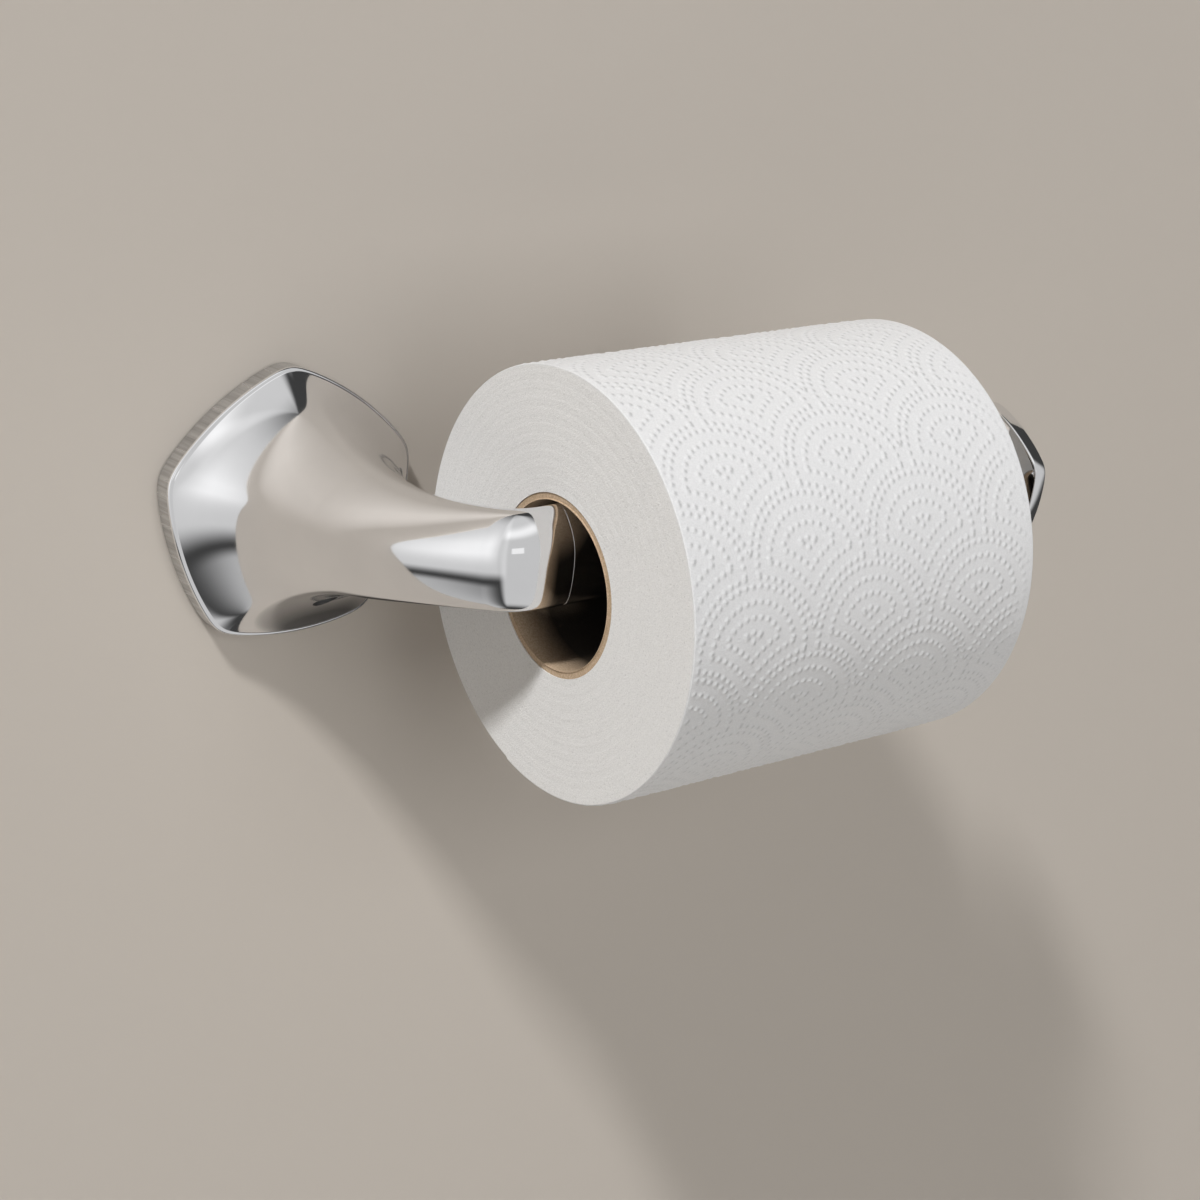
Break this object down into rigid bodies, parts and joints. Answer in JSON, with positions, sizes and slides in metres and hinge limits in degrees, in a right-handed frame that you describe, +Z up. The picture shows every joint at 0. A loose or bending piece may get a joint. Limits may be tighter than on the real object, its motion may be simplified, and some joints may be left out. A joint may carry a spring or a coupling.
{
  "type": "toilet paper holder",
  "caption": "Chrome wall-mounted toilet paper holder: a flared pentagonal base and neck turn into an open arm with a flared tip, which carries a loose paper roll.",
  "frame": {"origin": "middle of the base on the wall face, midway between the wall anchors", "axes": "+X right along the arm, +Y into the wall, +Z up"},
  "size_m": [0.196, 0.1595, 0.102],
  "materials": {
    "chrome": "mirror polished",
    "steel": "zinc plated",
    "plate": "bare die-cast zinc",
    "anchor": "moulded nylon",
    "cardboard": "raw",
    "paper": "embossed tissue"
  },
  "bodies": {
    "holder": {"post": "chrome", "arm": "chrome", "arm_stud": "steel", "arm_dowel": "steel", "wall_plate": "plate", "wall_screws": "steel", "wall_anchors": "anchor", "set_screw": "steel"},
    "core": {"core": "cardboard"},
    "paper": {"paper": "paper"}
  },
  "joints": [
    {"name": "roll_slide", "type": "slide", "parent": "holder", "child": "core", "axis": [1, 0, 0], "range_m": [-0.003, 0.014]},
    {"name": "roll_spin", "type": "hinge", "parent": "core", "child": "paper", "pos_m": [0.075, -0.0805, -0.00388], "axis": [1, 0, 0], "continuous": true}
  ]
}
